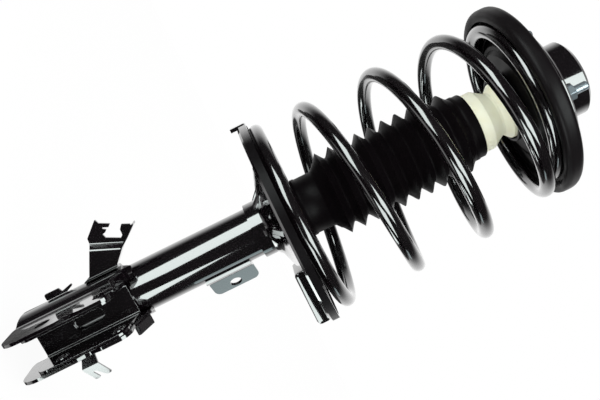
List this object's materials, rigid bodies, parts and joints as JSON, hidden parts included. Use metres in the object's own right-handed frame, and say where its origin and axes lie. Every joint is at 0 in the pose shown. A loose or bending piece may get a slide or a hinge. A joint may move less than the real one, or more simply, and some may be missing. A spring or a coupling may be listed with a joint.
{
  "type": "suspension strut",
  "caption": "Loaded suspension strut: damper with knuckle bracket, coil spring between two seats, dust boot, bump stop and top mount with thrust bearing, gloss black.",
  "frame": {"origin": "on the damper axis at the flat bottom face of the tube's base cap", "axes": "+Z along the damper axis towards the top mount; the two ears of the knuckle bracket point along -Y; +X is to the side of the link bracket"},
  "size_m": [0.2045, 0.204, 0.5698],
  "materials": {
    "gloss_black_paint": "gloss",
    "spring_powder_coat": "gloss",
    "black_rubber": "satin",
    "cream_urethane": "satin",
    "zinc_plate": "bright",
    "machined_steel": "turned",
    "hard_chrome": "polished",
    "sintered_bronze": "sintered",
    "bronze_filled_ptfe": "matt",
    "white_nylon": "matt"
  },
  "bodies": {
    "strut_body": {"strut_tube": "gloss_black_paint", "base_cap": "gloss_black_paint", "base_valve": "machined_steel", "pressure_tube": "machined_steel", "rod_guide": "sintered_bronze", "rod_seal": "black_rubber", "tube_cap": "zinc_plate", "knuckle_bracket": "gloss_black_paint", "knuckle_channel": "gloss_black_paint", "hose_bracket": "gloss_black_paint", "cable_tab": "gloss_black_paint", "clip_fork": "gloss_black_paint", "link_bracket": "gloss_black_paint", "lower_spring_seat": "gloss_black_paint", "lower_insulator": "black_rubber", "coil_spring": "spring_powder_coat", "dust_boot": "black_rubber"},
    "upper_seat": {"upper_spring_seat": "gloss_black_paint", "upper_insulator": "black_rubber", "bump_stop": "cream_urethane", "bump_stop_cup": "gloss_black_paint", "bearing_lower_race": "machined_steel"},
    "ball_cage": {"bearing_cage": "white_nylon"},
    "top_mount": {"bearing_upper_race": "machined_steel", "mount_plate": "gloss_black_paint", "mount_rubber": "black_rubber", "mount_core": "machined_steel", "piston_rod": "hard_chrome", "rebound_stop": "black_rubber", "piston": "machined_steel", "piston_ring": "bronze_filled_ptfe", "piston_nut": "zinc_plate", "rod_washer": "zinc_plate", "rod_nut": "zinc_plate", "mount_stud_1": "zinc_plate", "mount_stud_2": "zinc_plate", "mount_stud_3": "zinc_plate", "mount_nut_1": "zinc_plate", "mount_nut_2": "zinc_plate", "mount_nut_3": "zinc_plate"}
  },
  "joints": [
    {"name": "damper_stroke", "type": "slide", "parent": "strut_body", "child": "upper_seat", "axis": [0, 0, -1], "range_m": [0, 0.1], "stiffness_N_per_m": 22000, "springref_m": -0.03, "deforming": ["coil_spring", "dust_boot"]},
    {"name": "steer_swivel", "type": "hinge", "parent": "upper_seat", "child": "top_mount", "pos_m": [0, 0, 0.5165], "axis": [0, 0, 1], "range_deg": [-40, 40]},
    {"name": "cage_turn", "type": "hinge", "parent": "upper_seat", "child": "ball_cage", "pos_m": [0, 0, 0.504], "axis": [0, 0, 1], "range_deg": [-20, 20]}
  ],
  "couplings": [
    {"joint": "cage_turn", "follows": "steer_swivel", "ratio": 0.5}
  ]
}
